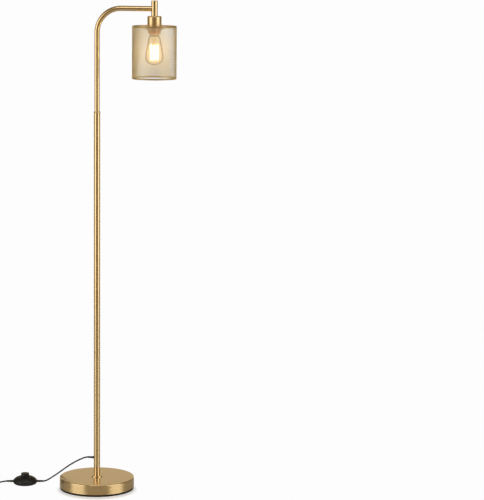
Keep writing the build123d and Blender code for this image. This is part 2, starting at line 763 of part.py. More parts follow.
def switch_screws():
    screw = disc(SCREW_HEAD_D, SCREW_SINK, SCREW_SINK + SCREW_HEAD_T)
    screw += disc(SCREW_D, SCREW_SINK, SCREW_TOP)
    return [at_switch(place * screw) for place in screw_places()]


def switch_button():
    """The round button: a cap with a lip under the cover and a well for its spring."""
    low = BUTTON_LIP_TOP - BUTTON_LIP_T
    cap = disc(BUTTON_D, low, BUTTON_TOP)
    cap = fillet(rim(cap, BUTTON_TOP), BUTTON_EDGE_R)
    cap += disc(BUTTON_LIP_D, low, BUTTON_LIP_TOP)
    return at_switch(cap - disc(BUTTON_WELL_D, low, low + BUTTON_WELL_DEPTH))


def contact_block():
    return at_switch(block(BLOCK_L, BLOCK_W, SWITCH_WALL, SWITCH_BLOCK_TOP))


def spring_ends():
    """The heights of the spring's seat on the block and of its seat in the button's well."""
    return SWITCH_BLOCK_TOP, BUTTON_LIP_TOP - BUTTON_LIP_T + BUTTON_WELL_DEPTH


def switch_spring():
    """A helical spring: the wire's middle climbs evenly as it goes round."""
    low, high = spring_ends()
    low, high = low + SPRING_WIRE / 2 + FIT_GAP, high - SPRING_WIRE / 2 - FIT_GAP
    climb = (high - low) / (2 * math.pi * SPRING_TURNS)
    angles = [math.pi / 2 * k for k in range(4 * SPRING_TURNS + 1)]
    radius = SPRING_D / 2
    points = [Vector(radius * math.cos(a), radius * math.sin(a), low + climb * a) for a in angles]
    tangents = [Vector(-radius * math.sin(a), radius * math.cos(a), climb).normalized() for a in angles]
    return at_switch(tube_along(Wire(arcs_through(points, tangents)), SPRING_WIRE))


def switch_reliefs():
    """A strain relief on each side: head inside the wall, shank through it, tapered nose outside."""
    inner, outer = SWITCH_D / 2 - SWITCH_WALL - RELIEF_HEAD_IN, SWITCH_D / 2 + RELIEF_STAND
    head = disc(RELIEF_HEAD_D, inner - RELIEF_HEAD_T, inner)
    shank = disc(RELIEF_SHANK, inner, outer)
    nose = cone(RELIEF_D, RELIEF_TIP, outer, outer + RELIEF_L)
    relief = Pos(0, 0, SWITCH_SEAM) * Rot(0, 90, 0) * (head + shank + nose)
    return [at_switch(Rot(0, 0, turn) * relief) for turn in (0, 180)]


# ---- Free lead, coil and plug ----
def relief_reach():
    return SWITCH_D / 2 + RELIEF_STAND + RELIEF_L


def lead_to_switch():
    start = (-LEAD_EXIT_X, 0, LEAD_EXIT_Z)
    end = switch_point(relief_reach(), SWITCH_SEAM)
    before = switch_point(relief_reach() + SWITCH_LEAD_RUN, SWITCH_SEAM)
    return lead_along("pole to switch", [start, *POLE_TO_SWITCH, before, end])


def coil_track(angle):
    """Radius, height and their rates at an angle into the coil: in on the floor, out on top."""
    total = 2 * math.pi * COIL_TURNS
    rate = COIL_PITCH / (2 * math.pi)
    half = math.pi / 2
    middle = total / 2
    spread = rate * (middle - half / 2) / 2
    past = angle - middle
    if abs(past) < half:
        radius = rate * (past**2 / (2 * half) + half / 2)
        slope = rate * past / half
        share = (past + half) / (2 * half)
        z = COIL_LOW_Z + COIL_PITCH * share**2 * (3 - 2 * share)
        climb = COIL_PITCH * 6 * share * (1 - share) / (2 * half)
    else:
        radius = rate * abs(past)
        slope = math.copysign(rate, past)
        z = COIL_LOW_Z if past < 0 else COIL_HIGH_Z
        climb = 0.0
    return COIL_MID_R - spread + radius, slope, z, climb


def coil_point(angle):
    """A point of the coil and the lead's direction there. The lead winds clockwise from above."""
    radius, slope, z, climb = coil_track(angle)
    a = math.radians(COIL_START) - angle
    point = Vector(COIL_X + radius * math.cos(a), COIL_Y + radius * math.sin(a), z)
    along = Vector(
        slope * math.cos(a) + radius * math.sin(a), slope * math.sin(a) - radius * math.cos(a), climb
    )
    return point, along.normalized()


def coil_path():
    """The coil's centreline, with a straight run of one diameter at each end."""
    total = 2 * math.pi * COIL_TURNS
    steps = math.ceil(total / (math.pi / 2))
    pairs = [coil_point(total * k / steps) for k in range(steps + 1)]
    points, tangents = [p for p, _ in pairs], [t for _, t in pairs]
    start = points[0] - tangents[0] * LEAD_D
    end = points[-1] + tangents[-1] * LEAD_D
    path = Wire([Line(start, points[0]), *arcs_through(points, tangents), Line(points[-1], end)])
    return path, (start, tangents[0]), (end, tangents[-1])


def least_gap(path):
    """The least gap of the coiled tube to itself, measured on points a quarter diameter apart."""
    count = int(path.length / (LEAD_D / 4))
    points = [path.position_at(k / count) for k in range(count + 1)]
    apart = int(4 * math.pi)
    least = min(
        (points[i] - points[j]).length
        for i in range(0, count + 1)
        for j in range(i + 3 * apart, count + 1)
    )
    return least - LEAD_D


def lead_coil():
    path, _, _ = coil_path()
    solid = tube_along(path, LEAD_D)
    expected = math.pi * LEAD_D**2 / 4 * path.length
    print(f"coil: length {path.length:.1f}, least gap {least_gap(path):.2f},"
          f" volume {solid.volume:.1f} for {expected:.1f}")
    return solid


def lead_to_coil():
    start = switch_point(-relief_reach(), SWITCH_SEAM)
    after = switch_point(-relief_reach() - SWITCH_LEAD_RUN, SWITCH_SEAM)
    _, (end, heading), _ = coil_path()
    before = end - heading * COIL_LEAD_RUN
    return lead_along("switch to coil", [start, after, *SWITCH_TO_COIL, tuple(before), tuple(end)])


def at_plug(part):
    """A part made on the Z axis from the coil's end outwards, laid along the lead's end."""
    _, _, (end, heading) = coil_path()
    return Plane(origin=end, x_dir=(0, 0, 1), z_dir=heading).location * part


def plug_relief():
    return at_plug(cone(PLUG_RELIEF_TIP, PLUG_RELIEF_D, 0, PLUG_RELIEF_L))


def plug_body():
    front = PLUG_RELIEF_L + PLUG_L
    body = block(PLUG_H, PLUG_W, PLUG_RELIEF_L, front)
    body = fillet(body.edges().filter_by(Axis.Z), PLUG_EDGE_R)
    slot = block(BLADE_W + 2 * FIT_GAP, BLADE_T + 2 * FIT_GAP, front - BLADE_ROOT, front)
    for side in (-1, 1):
        body -= Pos(0, side * BLADE_SPACING / 2, 0) * slot
    return at_plug(body)


def plug_blades():
    front = PLUG_RELIEF_L + PLUG_L
    blade = block(BLADE_W, BLADE_T, front - BLADE_ROOT, front + BLADE_L)
    return [at_plug(Pos(0, side * BLADE_SPACING / 2, 0) * blade) for side in (-1, 1)]


# ---- All nodes ----
def nodes():
    seams = seam_heights()
    made = {
        "base_pad": base_pad(),
        "base_cover": base_cover(),
        "base_weight": base_weight(),
        "base_lock_washer": base_washer(),
        "base_lock_nut": base_nut(),
        "base_threaded_rod": base_rod(),
        "pole_foot_flange": pole_foot_flange(),
        "pole_foot_insert": pole_foot_insert(),
        "cord_exit_bushing": cord_exit_bushing(),
        "swivel_bush": swivel_bush(),
        "arm_spigot": arm_spigot(),
        "swivel_spring_washer": swivel_washer(),
        "swivel_lock_nut": swivel_nut(),
        "gooseneck_arm": gooseneck_arm(),
        "stem_tube": stem_tube(),
        "stem_cap": stem_cap(),
        "stem_insert": stem_insert(),
        "cup_threaded_rod": cup_rod(),
        "cup_lock_nut": cup_nut(),
        "socket_cup": socket_cup(),
        "lampholder_cap": lampholder_cap(),
        "lampholder_skirt": lampholder_skirt(),
        "lampholder_ring_nut": lampholder_ring(),
        "lampholder_core": lampholder_core(),
        "lampholder_screw_shell": screw_shell(),
        "lampholder_centre_contact": centre_contact(),
        "lampholder_terminal_screws": terminal_screws(),
        "shade_mesh": shade_mesh(),
        "shade_top_ring": shade_hoop(SHADE_TOP - HEM_H),
        "shade_bottom_ring": shade_hoop(SHADE_FOOT),
        "shade_spider": shade_spider(),
        "bulb_glass": bulb_glass(),
        "bulb_screw_base": bulb_screw_base(),
        "bulb_insulator": bulb_insulator(),
        "bulb_centre_tip": bulb_tip(),
        "bulb_glass_stem": bulb_glass_stem(),
        "bulb_filaments": bulb_filaments(),
        "lead_in_pole": lead_in_pole(),
        "lead_in_arm": lead_in_arm(),
        "lead_to_switch": lead_to_switch(),
        "lead_to_coil": lead_to_coil(),
        "lead_coil": lead_coil(),
        "switch_base": switch_base(),
        "switch_cover": switch_cover(),
        "switch_button": switch_button(),
        "switch_contact_block": contact_block(),
        "switch_spring": switch_spring(),
        "switch_screws": switch_screws(),
        "switch_strain_reliefs": switch_reliefs(),
        "plug_strain_relief": plug_relief(),
        "plug_body": plug_body(),
        "plug_blades": plug_blades(),
    }
    for k, (z0, z1) in enumerate(zip(seams, seams[1:])):
        made[f"pole_length_{k + 1}"] = pole_length(z0, z1)
    for k, seam in enumerate(seams[1:-1]):
        made[f"pole_socket_{k + 1}"] = pole_socket(seam)
        made[f"pole_stud_{k + 1}"] = pole_stud(seam)
    return made


os.makedirs("parts", exist_ok=True)
for name, shape in nodes().items():
    solids = shape if isinstance(shape, list) else [shape]
    export_step(solids[0] if len(solids) == 1 else Compound(children=solids), f"parts/{name}.step")
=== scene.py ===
"""Wire cage floor lamp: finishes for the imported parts, the expanded mesh, the lead and the studio.

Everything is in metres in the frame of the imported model: Z up, the pole on the Z axis, the arm along
+X and the lead along -X.
"""

import math

import bpy
import numpy as np
from mathutils import Matrix, Vector

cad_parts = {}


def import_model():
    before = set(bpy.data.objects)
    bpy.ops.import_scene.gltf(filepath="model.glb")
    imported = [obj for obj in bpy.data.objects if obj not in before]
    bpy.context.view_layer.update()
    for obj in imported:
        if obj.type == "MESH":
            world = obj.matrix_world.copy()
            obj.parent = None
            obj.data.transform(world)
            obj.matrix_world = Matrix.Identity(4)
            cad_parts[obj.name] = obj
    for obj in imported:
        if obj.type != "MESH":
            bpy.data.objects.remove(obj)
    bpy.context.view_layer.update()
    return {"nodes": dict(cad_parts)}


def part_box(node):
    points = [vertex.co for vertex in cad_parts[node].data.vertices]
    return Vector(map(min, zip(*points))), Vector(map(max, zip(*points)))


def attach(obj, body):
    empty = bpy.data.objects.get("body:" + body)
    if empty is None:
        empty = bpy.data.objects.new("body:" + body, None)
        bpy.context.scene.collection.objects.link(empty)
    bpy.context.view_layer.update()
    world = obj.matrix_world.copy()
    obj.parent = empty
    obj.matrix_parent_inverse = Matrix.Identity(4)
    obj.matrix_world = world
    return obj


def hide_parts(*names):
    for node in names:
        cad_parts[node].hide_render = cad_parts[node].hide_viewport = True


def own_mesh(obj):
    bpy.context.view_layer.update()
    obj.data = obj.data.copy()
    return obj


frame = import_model()
NODES = frame["nodes"]
MM = 0.001


# ---- Sizes and places read from the frame ----
def middle(name):
    """The middle of a node's box."""
    low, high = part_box(name)
    return (low + high) / 2


SHADE_LOW, SHADE_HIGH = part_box("shade_mesh")
SHADE_X = middle("shade_mesh").x
SHADE_R = (SHADE_HIGH.x - SHADE_LOW.x) / 2
HEM_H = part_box("shade_top_ring")[1].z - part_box("shade_top_ring")[0].z
ARM_LOW, ARM_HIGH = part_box("gooseneck_arm")
ARM_R = -ARM_LOW.x
ARM_Z = ARM_HIGH.z - ARM_R
EXIT_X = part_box("cord_exit_bushing")[0].x
EXIT_Z = middle("cord_exit_bushing").z
BASE_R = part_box("base_cover")[1].x

# ---- Driving sizes of the pieces made here ----
CELLS_ROUND = 79
CELLS_HIGH = 16.5
STRAND_W = 0.92 * MM  # across the sheet's face, halfway between two bonds
BOND_SWELL = 0.45  # how much wider a strand is where two of them meet
STRAND_T = 0.6 * MM
FOLD_R = 1.15 * MM  # the sheet's fold round a hoop's edge, at the sheet's middle
FOLD_INSET = FOLD_R + STRAND_T / 2  # from a fold's root to the end of the shade
FAMILY_STEP = 0.05 * MM  # between the two families of strands
ARM_BEND_R = 80 * MM
LEAD_D = 5 * MM
SWITCH_X = -0.250
SWITCH_Y = 0.006
SWITCH_TURN = math.radians(10.5)
SWITCH_SEAM = 0.010  # the height of the seam, where the lead goes in and out
RELIEF_REACH = 0.0632  # from the switch's middle to a strain relief's tip
SWITCH_LEAD_RUN = 0.016  # from a strain relief's tip to where the lead's slope changes
COIL_X = -0.398
COIL_Y = 0.021
COIL_START = math.radians(-100)  # where the lead comes onto the coil
COIL_TURNS = 7.22
COIL_MID_R = 0.030
COIL_PITCH = 0.00565  # the lead and the gap to the next turn
COIL_LOW_Z = 0.0026
COIL_LEAD_RUN = 0.019  # the last straight run before the coil
POINTS_PER_TURN = 20


# ---- Materials ----
GOLD_DEEP = "#E2BF80"
GOLD_LIGHT = "#E8C78A"
FILAMENT_LIGHT = 46.0
HAIRLINE_SLOW = 1 / 600  # how much slower brushing changes along its lines than across them
HAIRLINE = 0.4 * MM  # real ones are about 0.15 mm apart, drawn wider so that a close view shows them


def linear(colour):
    """An sRGB hex colour as linear red, green, blue and an alpha of 1."""
    srgb = np.array([int(colour[i:i + 2], 16) for i in (1, 3, 5)]) / 255
    return (*np.where(srgb <= 0.04045, srgb / 12.92, ((srgb + 0.055) / 1.055) ** 2.4), 1.0)


def add(tree, kind, inputs=None, **settings):
    """Adds a shader node with its settings, and feeds its inputs with values or other outputs."""
    node = tree.nodes.new("ShaderNode" + kind)
    for name, value in settings.items():
        setattr(node, name, value)
    for name, value in (inputs or {}).items():
        if isinstance(value, bpy.types.NodeSocket):
            tree.links.new(value, node.inputs[name])
        else:
            node.inputs[name].default_value = value
    return node


def start(name):
    """A new material, its emptied node tree and its output."""
    material = bpy.data.materials.new(name)
    material.use_nodes = True
    tree = material.node_tree
    tree.nodes.clear()
    return material, tree, add(tree, "OutputMaterial")


def between(tree, share, low, high):
    """A number that goes from low to high as share goes from 0.25 to 0.75, where noise mostly lies."""
    inputs = {"Value": share, "From Min": 0.25, "From Max": 0.75, "To Min": low, "To Max": high}
    return add(tree, "MapRange", inputs).outputs["Result"]


def blend_colours(tree, share, first, second):
    """A colour between two hex colours, by a share that lies mostly between 0.25 and 0.75."""
    ramp = add(tree, "ValToRGB", {"Fac": share})
    for element, colour, place in zip(ramp.color_ramp.elements, (first, second), (0.25, 0.75)):
        element.color, element.position = linear(colour), place
    return ramp.outputs["Color"]


def noise(tree, vector, size, detail=2.0, rough=0.5):
    """Noise whose blots are about one size across, in metres along the vector that feeds it."""
    inputs = {"Vector": vector, "Scale": 1 / size, "Detail": detail, "Roughness": rough}
    return add(tree, "TexNoise", inputs).outputs[0]


def bump(tree, height, strength, depth):
    """A normal that stands for small height differences, of a depth in metres."""
    inputs = {"Height": height, "Strength": strength, "Distance": depth}
    return add(tree, "Bump", inputs).outputs["Normal"]


def place(tree):
    return add(tree, "TexCoord").outputs["Object"]


def sum_of(tree, *values):
    """Numbers added together."""
    total = values[0]
    for value in values[1:]:
        total = add(tree, "Math", {0: total, 1: value}, operation="ADD").outputs[0]
    return total


def along_tube(tree):
    """Coordinates of brushing along a vertical tube: fine across it, far longer up it."""
    return add(tree, "Mapping", {"Vector": place(tree), "Scale": (1, 1, HAIRLINE_SLOW)}).outputs[0]


def round_axis(x):
    """Coordinates of spun brushing about a vertical axis at x: its radius, a slow turn and height."""
    def made(tree):
        shifted = add(tree, "Mapping", {"Vector": place(tree), "Location": (-x, 0, 0)}).outputs[0]
        parts = add(tree, "SeparateXYZ", {"Vector": shifted}).outputs
        flat = add(tree, "CombineXYZ", {"X": parts[0], "Y": parts[1]}).outputs[0]
        radius = add(tree, "VectorMath", {0: flat}, operation="LENGTH").outputs["Value"]
        turn = add(tree, "Math", {0: parts[1], 1: parts[0]}, operation="ARCTAN2").outputs[0]
        slow = add(tree, "Math", {0: turn, 1: 0.004}, operation="MULTIPLY").outputs[0]
        return add(tree, "CombineXYZ", {"X": radius, "Y": slow, "Z": parts[2]}).outputs[0]
    return made


def along_arm(tree):
    """Coordinates of brushing along the bent arm.

    The distance out from the tube's centreline, in the bend's plane, is the distance from the bend's
    centre line less the bend's radius, once the point's offsets from it are held at zero on the
    straight runs. With Y it is fine across the tube, and X plus Z, much slowed, runs along it.
    """
    parts = add(tree, "SeparateXYZ", {"Vector": place(tree)}).outputs
    back = add(tree, "Math", {0: parts[0], 1: ARM_BEND_R}, operation="SUBTRACT").outputs[0]
    back = add(tree, "Math", {0: back, 1: 0.0}, operation="MINIMUM").outputs[0]
    up = add(tree, "Math", {0: parts[2], 1: ARM_Z - ARM_BEND_R}, operation="SUBTRACT").outputs[0]
    up = add(tree, "Math", {0: up, 1: 0.0}, operation="MAXIMUM").outputs[0]
    offset = add(tree, "CombineXYZ", {"X": back, "Z": up}).outputs[0]
    out = add(tree, "VectorMath", {0: offset}, operation="LENGTH").outputs["Value"]
    length = sum_of(tree, parts[0], parts[2])
    slow = add(tree, "Math", {0: length, 1: HAIRLINE_SLOW}, operation="MULTIPLY").outputs[0]
    return add(tree, "CombineXYZ", {"X": out, "Y": parts[1], "Z": slow}).outputs[0]


def brushed_gold(name, coordinates, rough=0.25):
    """Satin brushed gold plating under clear lacquer: long soft highlights, pale at their strongest."""
    material, tree, out = start(name)
    at = coordinates(tree)
    hairlines = noise(tree, at, HAIRLINE, 3.0, 0.6)
    broad = noise(tree, at, 5 * MM)
    handled = noise(tree, place(tree), 60 * MM, 3.0)
    colour = blend_colours(tree, broad, GOLD_DEEP, GOLD_LIGHT)
    gloss = sum_of(tree, between(tree, hairlines, rough - 0.04, rough + 0.04),
                   between(tree, handled, -0.01, 0.02))
    shader = add(tree, "BsdfPrincipled", {
        "Base Color": colour,
        "Metallic": 1.0,
        "Roughness": gloss,
        "Normal": bump(tree, hairlines, 0.03, 0.02 * MM),
        "Coat Weight": 1.0,
        "Coat IOR": 1.72,
        "Coat Roughness": 0.22,
    })
    tree.links.new(shader.outputs[0], out.inputs["Surface"])
    return material


def mesh_gold(name, dark, light):
    """Gold plated sheet steel of the shade: satin, a little deeper where the plating runs thin."""
    material, tree, out = start(name)
    worn = noise(tree, place(tree), 9 * MM, 3.0)
    grain = noise(tree, place(tree), 0.5 * MM, 2.0)
    shader = add(tree, "BsdfPrincipled", {
        "Base Color": blend_colours(tree, worn, dark, light),
        "Metallic": 1.0,
        "Roughness": between(tree, grain, 0.50, 0.62),
        "Normal": bump(tree, grain, 0.15, 0.02 * MM),
    })
    tree.links.new(shader.outputs[0], out.inputs["Surface"])
    return material


def metal(name, dark, light, rough, grit):
    """A plain worked metal: its colour and gloss vary with a grit size in metres."""
    material, tree, out = start(name)
    grains = noise(tree, place(tree), grit, 4.0, 0.6)
    shader = add(tree, "BsdfPrincipled", {
        "Base Color": blend_colours(tree, grains, dark, light),
        "Metallic": 1.0,
        "Roughness": between(tree, grains, rough - 0.06, rough + 0.08),
        "Normal": bump(tree, grains, 0.2, 0.04 * MM),
    })
    tree.links.new(shader.outputs[0], out.inputs["Surface"])
    return material


def moulded(name, dark, light, rough, grain, relief=0.2, sheen=0.0):
    """A moulded plastic or rubber: even colour, with the fine spark-eroded grain of its mould."""
    material, tree, out = start(name)
    grains = noise(tree, place(tree), grain, 3.0, 0.6)
    cloudy = noise(tree, place(tree), 25 * grain, 2.0)
    shader = add(tree, "BsdfPrincipled", {
        "Base Color": blend_colours(tree, cloudy, dark, light),
        "Roughness": between(tree, grains, rough - 0.06, rough + 0.06),
        "IOR": 1.5,
        "Normal": bump(tree, grains, relief, 0.05 * MM),
        "Sheen Weight": sheen,
    })
    tree.links.new(shader.outputs[0], out.inputs["Surface"])
    return material


def lamp_glass(name, face, edge, clearness, blur=0.02):
    """Blown glass. Tinted glass looks deeper at its edges, and blur spreads the filaments' glow."""
    material, tree, out = start(name)
    facing = add(tree, "LayerWeight", {"Blend": 0.35}).outputs["Facing"]
    tint = blend_colours(tree, facing, face, edge)
    shader = add(tree, "BsdfPrincipled", {
        "Base Color": tint,
        "Roughness": blur,
        "IOR": 1.45,
        "Transmission Weight": 1.0,
        "Normal": bump(tree, noise(tree, place(tree), 14 * MM), 0.05, 0.2 * MM),
    })
    passing = add(tree, "BsdfTransparent", {"Color": linear(clearness)})
    shadow = add(tree, "LightPath").outputs["Is Shadow Ray"]
    mixed = add(tree, "MixShader", {0: shadow, 1: shader.outputs[0], 2: passing.outputs[0]})
    tree.links.new(mixed.outputs[0], out.inputs["Surface"])
    return material


def glowing_filament():
    """A phosphor-coated filament: a warm light so strong that it looks white, faintly grained."""
    material, tree, out = start("phosphor_filament")
    grains = noise(tree, place(tree), 0.6 * MM)
    shader = add(tree, "BsdfPrincipled", {
        "Base Color": linear("#F2C766"),
        "Roughness": 0.6,
        "Emission Color": blend_colours(tree, grains, "#FFEFD0", "#FFF6E2"),
        "Emission Strength": FILAMENT_LIGHT,
    })
    tree.links.new(shader.outputs[0], out.inputs["Surface"])
    return material


SPUN_GOLD = brushed_gold("satin_gold_spun_on_the_pole_axis", round_axis(0.0), 0.22)
SPUN_CUP_GOLD = brushed_gold("satin_gold_spun_on_the_stem_axis", round_axis(SHADE_X), 0.33)
TUBE_GOLD = brushed_gold("satin_gold_brushed_up_the_pole", along_tube)
ARM_GOLD = brushed_gold("satin_gold_brushed_along_the_arm", along_arm)
MESH_GOLD = mesh_gold("gold_plated_expanded_steel", "#D0BF90", "#DED0A6")
# Painted shade: the hoops and the spider are the same gold plated steel as the mesh, given darker
# colours so that the hem bands at the shade's ends look shaded.
PAINTED_SHADE_HOOP_GOLD = mesh_gold("hoop_gold_painted_darker_as_shade", "#B8945C", "#C9A76E")
STEEL = metal("zinc_plated_steel", "#9FA3A6", "#C3C6C8", 0.34, 1.5 * MM)
IRON = metal("cast_iron", "#3A3A3B", "#565657", 0.62, 1.2 * MM)
BRASS = metal("pressed_brass", "#B89A55", "#D6BC78", 0.30, 2.0 * MM)
NICKEL = metal("nickel_plated_brass", "#B9B2A4", "#D6D0C4", 0.26, 1.5 * MM)
PAD = moulded("closed_cell_foam_pad", "#0B0B0B", "#161616", 0.85, 0.6 * MM, 0.4)
LEAD_PVC = moulded("extruded_pvc_lead", "#1B1C1E", "#26272A", 0.42, 0.5 * MM)
SWITCH_ABS = moulded("spark_grained_abs", "#101011", "#1A1A1B", 0.45, 0.35 * MM)
HOLDER_PLASTIC = moulded("tan_pbt_lampholder", "#DDB292", "#EAC2A2", 0.48, 0.5 * MM)
CERAMIC = moulded("glazed_steatite", "#DCD7CC", "#EAE6DC", 0.30, 1.0 * MM, 0.05)
BLACK_GLASS = moulded("black_vitrite", "#0C0C0D", "#151516", 0.25, 1.0 * MM, 0.05)
AMBER = lamp_glass("amber_blown_glass", "#FFF9EC", "#D2A478", "#FFF4E2", 0.22)
CLEAR = lamp_glass("clear_glass_stem", "#FBF3DC", "#F1E0B6", "#FFF8E8")
FILAMENT = glowing_filament()

FINISHES = {
    "base_cover": SPUN_GOLD,
    "pole_foot_flange": SPUN_GOLD,
    "swivel_bush": SPUN_GOLD,
    "pole_length_1": TUBE_GOLD,
    "pole_length_2": TUBE_GOLD,
    "pole_length_3": TUBE_GOLD,
    "gooseneck_arm": ARM_GOLD,
    "stem_tube": TUBE_GOLD,
    "stem_cap": SPUN_CUP_GOLD,
    "socket_cup": SPUN_CUP_GOLD,
    # Painted shade: the darker copy of the mesh's gold on the hoops and the spider.
    "shade_top_ring": PAINTED_SHADE_HOOP_GOLD,
    "shade_bottom_ring": PAINTED_SHADE_HOOP_GOLD,
    "shade_spider": PAINTED_SHADE_HOOP_GOLD,
    "shade_mesh": MESH_GOLD,
    "base_pad": PAD,
    "base_weight": IRON,
    "base_lock_washer": STEEL,
    "base_lock_nut": STEEL,
    "base_threaded_rod": STEEL,
    "pole_foot_insert": STEEL,
    "pole_socket_1": STEEL,
    "pole_socket_2": STEEL,
    "pole_stud_1": STEEL,
    "pole_stud_2": STEEL,
    "arm_spigot": STEEL,
    "swivel_spring_washer": STEEL,
    "swivel_lock_nut": STEEL,
    "stem_insert": STEEL,
    "cup_threaded_rod": STEEL,
    "cup_lock_nut": STEEL,
    "switch_spring": STEEL,
    "switch_screws": STEEL,
    "lead_in_pole": LEAD_PVC,
    "lead_in_arm": LEAD_PVC,
    "lead_to_switch": LEAD_PVC,
    "lead_to_coil": LEAD_PVC,
    "lead_coil": LEAD_PVC,
    "cord_exit_bushing": LEAD_PVC,
    "switch_strain_reliefs": LEAD_PVC,
    "plug_strain_relief": LEAD_PVC,
    "plug_body": LEAD_PVC,
    "switch_base": SWITCH_ABS,
    "switch_cover": SWITCH_ABS,
    "switch_button": SWITCH_ABS,
    "lampholder_cap": HOLDER_PLASTIC,
    "lampholder_skirt": HOLDER_PLASTIC,
    "lampholder_ring_nut": HOLDER_PLASTIC,
    "lampholder_core": CERAMIC,
    "switch_contact_block": CERAMIC,
    "lampholder_screw_shell": BRASS,
    "lampholder_centre_contact": BRASS,
    "lampholder_terminal_screws": BRASS,
    "plug_blades": BRASS,
    "bulb_centre_tip": BRASS,
    "bulb_screw_base": NICKEL,
    "bulb_glass": AMBER,
    "bulb_glass_stem": CLEAR,
    "bulb_filaments": FILAMENT,
    "bulb_insulator": BLACK_GLASS,
}


def paint(piece, material):
    piece.data.materials.clear()
    piece.data.materials.append(material)


def finish_nodes():
    """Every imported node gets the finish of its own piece."""
    for name, node in NODES.items():
        paint(node, FINISHES[name])


# ---- Surfaces ----
def surface(name, points, faces, material, body):
    """A mesh object from arrays of points and four-cornered faces, riding on a body."""
    mesh = bpy.data.meshes.new(name)
    mesh.from_pydata(points.reshape(-1, 3), [], faces.reshape(-1, 4))
    mesh.validate()
    made = bpy.data.objects.new(name, mesh)
    bpy.context.scene.collection.objects.link(made)
    paint(made, material)
    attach(made, body)
    return made


def tube_faces(count, steps, corners):
    """Faces of closed tubes on a grid of tube, step along it and corner round it, ends included."""
    ids = np.arange(count * steps * corners).reshape(count, steps, corners)
    turned = np.roll(ids, -1, axis=2)
    walls = np.stack([ids[:, :-1], ids[:, 1:], turned[:, 1:], turned[:, :-1]], axis=-1)
    ends = np.concatenate([ids[:, 0], ids[:, -1, ::-1]])
    return np.concatenate([walls.reshape(-1, 4), ends])


def sheet_section():
    """The rolled sheet's section: a way along it, its radius, its height and its outward slope.

    It runs up inside the lower hoop's face in reverse, folds round the hoop's lower edge as a half
    circle, climbs the outside of the shade, folds over the upper edge and ends inside the top hoop.
    The way is counted from the foot of the outer wall, so that bonds fall on its whole half cells.
    """
    outer = SHADE_R - STRAND_T / 2
    fold = np.linspace(0, np.pi, 8)
    low, high = SHADE_LOW.z + FOLD_INSET, SHADE_HIGH.z - FOLD_INSET
    cell = (high - low) / CELLS_HIGH
    quarters = round(CELLS_HIGH * 4)
    wall_z = low + np.arange(quarters + 1) * cell / 4
    leg = np.array([HEM_H, HEM_H / 2])
    radius = np.concatenate([
        np.full(2, outer - 2 * FOLD_R),
        outer - FOLD_R - FOLD_R * np.cos(fold[:-1]),
        np.full(quarters + 1, outer),
        outer - FOLD_R + FOLD_R * np.cos(fold[1:]),
        np.full(2, outer - 2 * FOLD_R),
    ])
    height = np.concatenate([
        low + leg,
        low - FOLD_R * np.sin(fold[:-1]),
        wall_z,
        high + FOLD_R * np.sin(fold[1:]),
        high - leg[::-1],
    ])
    steps = np.hypot(np.diff(radius), np.diff(height))
    way = np.concatenate([[0], np.cumsum(steps)])
    way -= way[2 + len(fold) - 1]
    return way, radius, height, cell


def strands(lean, inset):
    """One family of strands, all parallel: angle = strand's own angle + lean x way / cell height.

    Each strand is a flat bar of four corners round the sheet's section line. Its width swells by
    BOND_SWELL where its way is a whole number of half cells, at the bonds with the other family.
    """
    way, radius, height, cell = sheet_section()
    radius = radius - inset
    own = 2 * np.pi * np.arange(CELLS_ROUND) / CELLS_ROUND
    angle = own[:, None] + lean * way / cell * 2 * np.pi / CELLS_ROUND
    outward = np.stack([np.cos(angle), np.sin(angle), np.zeros_like(angle)], axis=-1)
    line = outward * radius[:, None]
    line[..., 2] = height
    tangent = np.gradient(line, axis=1)
    tangent /= np.linalg.norm(tangent, axis=-1, keepdims=True)
    slope_r, slope_z = np.gradient(radius), np.gradient(height)
    slope = np.hypot(slope_r, slope_z)
    normal = outward * (slope_z / slope)[:, None]
    normal[..., 2] = -slope_r / slope
    side = np.cross(tangent, normal)
    side /= np.linalg.norm(side, axis=-1, keepdims=True)
    bond = np.cos(2 * np.pi * way / (cell / 2)) * 0.5 + 0.5
    half_w = STRAND_W / 2 * (1 + BOND_SWELL * bond)[:, None]
    half_t = STRAND_T / 2
    corners = [(1, 1), (-1, 1), (-1, -1), (1, -1)]
    points = np.stack([line + a * half_w * side + b * half_t * normal for a, b in corners], axis=2)
    return points, tube_faces(CELLS_ROUND, len(way), len(corners))


def shade_sheet():
    """The expanded mesh: two families of strands that lean opposite ways and meet at the bonds."""
    right, faces = strands(1, 0.0)
    left, _ = strands(-1, FAMILY_STEP)
    points = np.concatenate([right.reshape(-1, 3), left.reshape(-1, 3)])
    points[:, 0] += SHADE_X
    both = np.concatenate([faces, faces + right.size // 3])
    sheet = surface("shade_expanded_mesh", points, both, MESH_GOLD, "arm")
    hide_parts("shade_mesh")


# ---- The foot switch and the free lead ----
def press_spring():
    """The foot switch's spring gets its own copy of its mesh."""
    spring = NODES["switch_spring"]
    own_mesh(spring)


def on_switch(along, z=SWITCH_SEAM):
    """A point on the foot switch's long axis, counted from its middle towards the pole."""
    return (SWITCH_X + along * math.cos(SWITCH_TURN), SWITCH_Y + along * math.sin(SWITCH_TURN), z)


